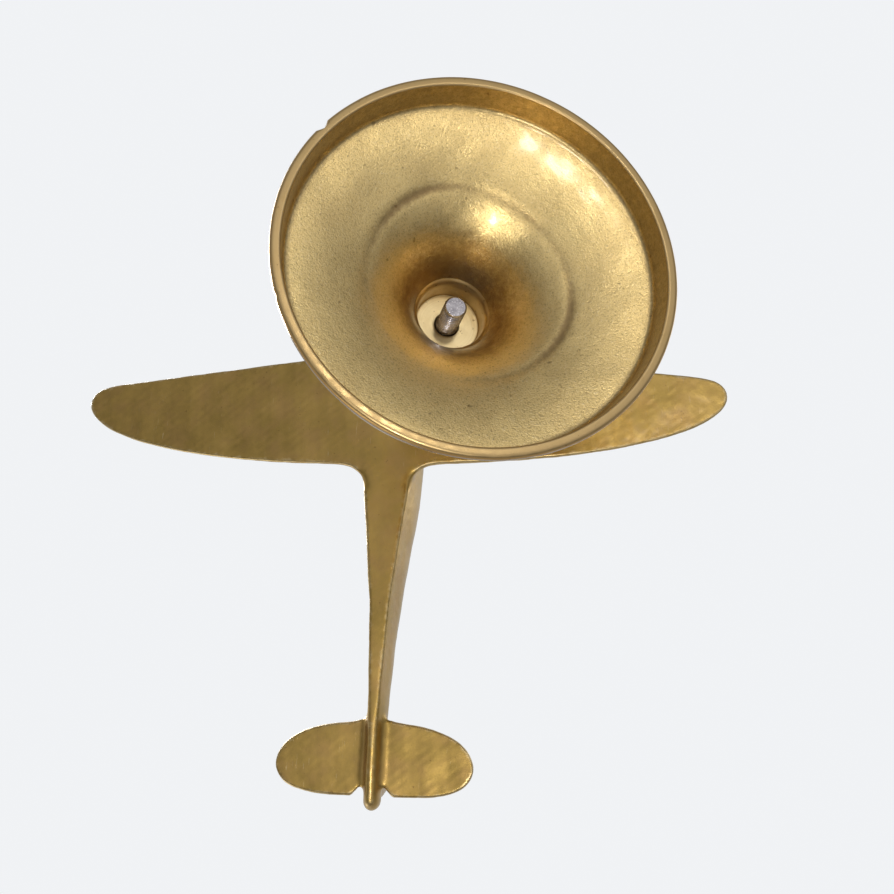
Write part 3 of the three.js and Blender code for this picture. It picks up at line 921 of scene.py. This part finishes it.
def tailplane():
    rings = []
    for s in spanwise(TAIL_HALF_SPAN, 120):
        reach = abs(s) / TAIL_HALF_SPAN
        flare = 2.2 * math.exp(-max(0, abs(s) - 2.5) / 2.4)
        notch = 2.6 * (1 - float(smoothstep(3.5, 7, abs(s))))
        lead = TAIL_MID_Y - 13 * math.sqrt(max(0, 1 - reach ** 2.8)) - flare
        trail = TAIL_MID_Y + 9 * math.sqrt(max(0, 1 - reach ** 4.6)) - notch
        if reach > 0.999:
            lead, trail = TAIL_MID_Y - 0.8, TAIL_MID_Y + 0.8
        section = foil_section(lead, trail, 2.6, 1.1, 0.7)
        rings.append(np.stack([np.full(len(section), s), section[:, 0], section[:, 1] + 5.2], axis=1))
    return capped(rings)


def fin():
    """An upright plate with an oval section at each height."""
    front = np.vstack([bezier([[96, 10], [104, 15.5], [109, 20], [112.5, 27]], 30),
                       bezier([[112.5, 27], [114, 30.2], [116.4, 31.6], [118.6, 31.6]], 16)[1:]])
    rear = np.vstack([bezier([[118.6, 31.6], [121.3, 31.6], [123.4, 30.6], [124.5, 28.5]], 16),
                      bezier([[124.5, 28.5], [127, 22], [128.6, 14], [128.6, 5]], 30)[1:]])[::-1]
    theta = np.linspace(0, 2 * math.pi, 40, endpoint=False)
    rings = []
    for z in 5 + 26.55 * np.sin(np.linspace(0, math.pi / 2, 90)):
        lead, trail = np.interp(z, front[:, 1], front[:, 0]), np.interp(z, rear[:, 1], rear[:, 0])
        half = max(0.3, (trail - lead) / 2)
        thick = lerp(1.5, 0.75, float(smoothstep(8, 31, z))) * min(1, half / 2)
        y = (lead + trail) / 2 - half * np.cos(theta)
        x = thick * np.sign(np.sin(theta)) * np.abs(np.sin(theta)) ** 0.7
        rings.append(np.stack([x, y, np.full(len(theta), z)], axis=1))
    return capped(rings)


CANOPY_SIZE = np.array([5.4, 17, 7.4])
CANOPY_MIDDLE = np.array([0, 13, 22.6])
CANOPY_FRAMES = (-8.5, -3.2, 4.4)


def canopy():
    """A long bubble with raised frames and a rail along each side between them."""
    theta = np.linspace(0.03, math.pi - 0.03, 90)
    phi = np.linspace(0, 2 * math.pi, 72, endpoint=False)
    across, up = np.cos(phi), np.sin(phi)
    rings = []
    for t in theta:
        y = -CANOPY_SIZE[1] * math.cos(t)
        frames = sum(math.exp(-((y - place) / 0.55) ** 2) for place in CANOPY_FRAMES)
        between = CANOPY_FRAMES[0] < y < CANOPY_FRAMES[-1]
        rail = np.exp(-((np.abs(phi - math.pi / 2) - 0.62) / 0.07) ** 2) * between
        swell = 1 + 0.045 * np.maximum(frames, rail)
        radius = math.sin(t) * swell
        x, z = CANOPY_SIZE[0] * radius * across, CANOPY_SIZE[2] * radius * up
        rings.append(CANOPY_MIDDLE + np.stack([x, np.full(len(phi), y), z], axis=1))
    return capped(rings)


def airframe():
    boss = moved(rod(BOSS_R, PILLAR_TOP + GAP, UPPER_STUD_TOP + 2), on_stand_axis)
    mesh = cast_in_one([fuselage(), wing(), tailplane(), fin(), canopy(), boss], AIRFRAME_VOXEL)
    points = coordinates(mesh)
    lumps = 0.07 * ripple(points, 11, 5) + 0.022 * ripple(points, 3, 6)
    with_points(mesh, points + normals(mesh) * (lumps - 0.05)[:, None])
    mesh = cut(mesh, moved(rod(UPPER_STUD_R + GAP, PILLAR_TOP - 1, UPPER_STUD_TOP + GAP), on_stand_axis))
    mesh = cut(mesh, moved(rod(SHAFT_R + GAP, -NOSE_BORE_DEPTH, 1), along_nose))
    mesh = thinned(mesh, AIRFRAME_FACES)
    set_attribute(mesh, "wear", edge_wear(mesh, spread_over(AIRFRAME_VOXEL)))
    finish = rubbed_brass("aged_brass", OLIVE_BRASS, RUBBED_BRASS, 0.33)
    show("airframe_casting", mesh, on_aeroplane, [finish], "ornament", "airframe", sharp=50)


# ---------- propeller ----------

WASHER_BACK = GAP
HUB_BACK = WASHER_BACK + WASHER_T + GAP
HUB_FRONT = HUB_BACK + HUB_DEPTH
SHAFT_HEAD_BACK = HUB_FRONT - 2
SHAFT_HEAD_R = 2.8


def from_nose(points):
    return on_aeroplane(along_nose(points))


def blade(index):
    """A twisted blade with a rounded tip, along +X before it is turned to its place."""
    theta = np.linspace(0, 2 * math.pi, 36, endpoint=False)
    middle = (HUB_BACK + HUB_FRONT) / 2
    rings = []
    for share in np.sin(np.linspace(0, math.pi / 2, 60)):
        fullness = math.sin(math.pi * min(1, 0.12 + 0.88 * share) ** 0.9) * 1.7
        tip_round = math.sqrt(max(0.01, 1 - share ** 8))
        chord = (lerp(1.9, 2.2, share) + fullness) * tip_round
        thickness = lerp(1.5, 0.62, share)
        pitch = math.radians(lerp(52, 22, share))
        u = -np.cos(theta) * chord
        v = np.sin(theta) * thickness * np.where(np.sin(theta) > 0, 1.0, 0.7)
        r = np.full(len(theta), lerp(4.5, BLADE_TIP_R, share))
        rings.append(np.stack([r, u * math.cos(pitch) - v * math.sin(pitch),
                               middle + u * math.sin(pitch) + v * math.cos(pitch)], axis=1))
    points, faces = capped(rings)
    turn = Matrix.Rotation(index / BLADE_COUNT * 2 * math.pi + math.pi / 2, 3, "Z")
    return points @ np.array(turn).T, faces


def propeller():
    recess_r, recess_z, bore_r = SHAFT_HEAD_R + GAP, SHAFT_HEAD_BACK - GAP, SHAFT_R + GAP
    hub = turned(spaced(rounded([
        [bore_r, (HUB_BACK + recess_z) / 2], [bore_r, recess_z], [recess_r, recess_z], [recess_r, HUB_FRONT],
        [HUB_R, HUB_FRONT], [HUB_R, HUB_BACK], [bore_r, HUB_BACK], [bore_r, (HUB_BACK + recess_z) / 2 - 0.1],
    ], 0.3), 0.5), 144)
    mesh = cast_in_one([hub, *(blade(i) for i in range(BLADE_COUNT))], PROPELLER_VOXEL, fillet=1.4, rounds=14)
    mesh = thinned(mesh, PROPELLER_FACES)
    points = coordinates(mesh)
    with_points(mesh, points + normals(mesh) * (0.03 * ripple(points, 5, 8) - 0.02)[:, None])
    set_attribute(mesh, "wear", edge_wear(mesh, spread_over(PROPELLER_VOXEL)))
    finish = rubbed_brass("propeller_brass", OLIVE_BRASS, BRIGHT_BRASS, 0.28)
    show("propeller_casting", mesh, from_nose, [finish], "propeller_set", "propeller", sharp=50)


def nose_pieces(steel):
    finish = turned_brass("nose_brass", THRUST_POINT)
    back, front = WASHER_BACK, WASHER_BACK + WASHER_T
    bore = SHAFT_R + GAP
    washer = rounded([[bore, front - 0.5], [bore, back], [WASHER_R, back], [WASHER_R, front], [bore, front],
                      [bore, front - 0.4]], 0.15)
    lathe_piece("washer_turned", washer, from_nose, finish, "ornament", "thrust_washer", 96)
    pin = [
        [0.2, -SHAFT_DEPTH], [SHAFT_R - 0.3, -SHAFT_DEPTH], [SHAFT_R, 0.4 - SHAFT_DEPTH],
        [SHAFT_R, SHAFT_HEAD_BACK],
        [SHAFT_HEAD_R, SHAFT_HEAD_BACK], [SHAFT_HEAD_R, SHAFT_HEAD_BACK + 0.9],
        [SHAFT_HEAD_R - 0.6, SHAFT_HEAD_BACK + 1.4], [0.2, SHAFT_HEAD_BACK + 1.4],
    ]
    lathe_piece("shaft_pin", on_axis(spaced(rounded(pin, 0.12), 0.6)), from_nose, steel,
                "ornament", "propeller_shaft", 64)
    base = HUB_FRONT + GAP
    tip = base + SPINNER_LENGTH
    dome = bezier([[HUB_R - 0.2, base + 0.35], [HUB_R - 0.6, base + 5], [3.2, tip - 0.9], [0.05, tip]], 40)
    skirt = rounded([[0.3, base], [HUB_R - 0.3, base], [HUB_R - 0.2, base + 0.3]], 0.2)
    lathe_piece("spinner_dome", on_axis(spaced(skirt, 0.6), dome), from_nose, finish,
                "propeller_set", "spinner", 128)


# ---------- floor, light and camera ----------

FLOOR_R_M = 14


def floor():
    """A pale floor that the camera sees only from above, so that it can also look up from underneath."""
    f = Finish("pale_floor")
    shade = f.blend(f.span(f.noise(40, detail=3), 0.3, 0.7), FLOOR_LIGHT, FLOOR_DIM)
    away = f.add("ShaderNodeVectorMath", {0: f.place}, operation="LENGTH").outputs["Value"]
    # Paler far away: painted light that makes up for the lamps' light falling off with distance.
    shade = f.blend(f.span(away, 0.3, 3.0), shade, FLOOR_FAR_PAINTED_LIGHT)
    f.set(f.shader.inputs["Base Color"], shade)
    f.shader.inputs["Roughness"].default_value = 0.75
    clear = f.add("ShaderNodeBsdfTransparent")
    path = f.add("ShaderNodeLightPath")
    below = f.add("ShaderNodeNewGeometry").outputs["Backfacing"]
    shown = f.math("MULTIPLY", path.outputs["Is Camera Ray"], f.math("SUBTRACT", 1.0, below))
    choice = f.add("ShaderNodeMixShader", {0: shown, 1: clear.outputs[0], 2: f.shader.outputs[0]})
    f.set(f.tree.nodes["Material Output"].inputs["Surface"], choice.outputs[0])
    angle = np.linspace(0, 2 * math.pi, 128, endpoint=False)
    edge = FLOOR_R_M * np.stack([np.cos(angle), np.sin(angle), 0 * angle], axis=1)
    mesh = mesh_of((edge, [list(range(len(edge)))]), "floor")
    mesh.materials.append(f.material)
    piece = bpy.data.objects.new("floor", mesh)
    bpy.context.scene.collection.objects.link(piece)


# How bright the room is, from straight below (0) to straight above (1).
ROOM_LIGHT = (
    (0.0, 0.62), (0.1, 0.6), (0.2, 0.28), (0.32, 0.2), (0.5, 0.34), (0.62, 0.5), (0.8, 0.6), (1.0, 0.58),
)


def surroundings():
    """Pale to the camera. Reflections see a room bright above and below and dimmer round about."""
    world = bpy.data.worlds.new("studio")
    bpy.context.scene.world = world
    world.use_nodes = True
    tree = world.node_tree
    tree.nodes.clear()

    def add(kind, inputs=(), **settings):
        node = tree.nodes.new(kind)
        for name, value in settings.items():
            setattr(node, name, value)
        for socket, value in dict(inputs).items():
            if isinstance(value, bpy.types.NodeSocket):
                tree.links.new(value, node.inputs[socket])
            else:
                node.inputs[socket].default_value = value
        return node

    direction = add("ShaderNodeTexCoord").outputs["Generated"]
    parts = add("ShaderNodeSeparateXYZ", {0: direction})
    height = add("ShaderNodeMapRange", {"Value": parts.outputs[2], "From Min": -1.0, "From Max": 1.0})
    ramp = add("ShaderNodeValToRGB", {0: height.outputs[0]})
    elements = ramp.color_ramp.elements
    for place, _ in ROOM_LIGHT[1:-1]:
        elements.new(place)
    for element, (place, value) in zip(elements, ROOM_LIGHT):
        element.position = place
        element.color = (value, value * 0.995, value * 0.985, 1)
    aft = add("ShaderNodeMapRange", {"Value": parts.outputs[1], "From Min": -0.6, "From Max": 0.6,
                                     "To Min": 1.2, "To Max": 0.75})
    below = add("ShaderNodeMapRange", {"Value": parts.outputs[2], "From Min": 0.0, "From Max": -0.3})
    gain = add("ShaderNodeMix", {0: below.outputs[0], 2: 1.0, 3: aft.outputs[0]}, data_type="FLOAT")
    lit = add("ShaderNodeBackground", {0: ramp.outputs[0], 1: gain.outputs[0]})
    seen = add("ShaderNodeBackground", {0: BACKGROUND, 1: 1.0})
    to_camera = add("ShaderNodeLightPath").outputs["Is Camera Ray"]
    choice = add("ShaderNodeMixShader", {0: to_camera, 1: lit.outputs[0], 2: seen.outputs[0]})
    add("ShaderNodeOutputWorld", {0: choice.outputs[0]})


def soft_light(name, place, aim, size, power, tint=(1, 1, 1)):
    """A round soft light. place and aim are in millimetres from the foot."""
    lamp = bpy.data.lights.new(name, "AREA")
    lamp.shape = "DISK"
    lamp.size = size * MM
    lamp.energy = power
    lamp.color = tint
    light = bpy.data.objects.new(name, lamp)
    light.location = Vector((FOOT + place) * MM)
    light.rotation_euler = Vector(np.array(aim, float) - place).to_track_quat("-Z", "Y").to_euler()
    bpy.context.scene.collection.objects.link(light)
    light.visible_camera = False


def lights():
    soft_light("ceiling_lamp", (20, -95, -386), (0, 0, 30), 34, 0.13, (1, 0.97, 0.92))
    soft_light("second_lamp", (-58, 195, -230), (0, 0, 30), 40, 0.26, (1, 0.98, 0.94))
    soft_light("side_box", (950, -400, 560), (0, 0, 90), 600, 1.2)
    soft_light("back_box", (-600, 900, 600), (0, 0, 90), 600, 1.6)
    window = bpy.data.lights.new("window", "SUN")
    window.energy = 2.3
    window.angle = math.radians(28)
    sky = bpy.data.objects.new("window", window)
    sky.rotation_euler = (math.radians(24), math.radians(-20), 0)
    bpy.context.scene.collection.objects.link(sky)


# The camera looks up into the bell from below. Place in millimetres from the foot's middle.
CAMERA_PLACE = np.array([-47.6, 115.0, -214.5])
CAMERA_FORWARD = Vector((0.1807, -0.2973, 0.9375))
CAMERA_UP = Vector((-0.0979, -0.9539, -0.2836))
SENSOR = 36
LENS = 42.28


def camera():
    data = bpy.data.cameras.new("camera")
    data.sensor_width = SENSOR
    data.lens = LENS
    data.clip_start = 0.01
    data.clip_end = 20
    view = bpy.data.objects.new("camera", data)
    forward = CAMERA_FORWARD.normalized()
    right = forward.cross(CAMERA_UP).normalized()
    up = right.cross(forward)
    view.matrix_world = Matrix((
        (right.x, up.x, -forward.x, 0),
        (right.y, up.y, -forward.y, 0),
        (right.z, up.z, -forward.z, 0),
        (0, 0, 0, 1),
    ))
    view.location = Vector((FOOT + CAMERA_PLACE) * MM)
    bpy.context.scene.collection.objects.link(view)
    bpy.context.scene.camera = view
    bpy.context.scene.view_settings.view_transform = "Standard"


camera()
surroundings()
lights()
floor()
bell()
steel_finish = stand()
airframe()
propeller()
nose_pieces(steel_finish)
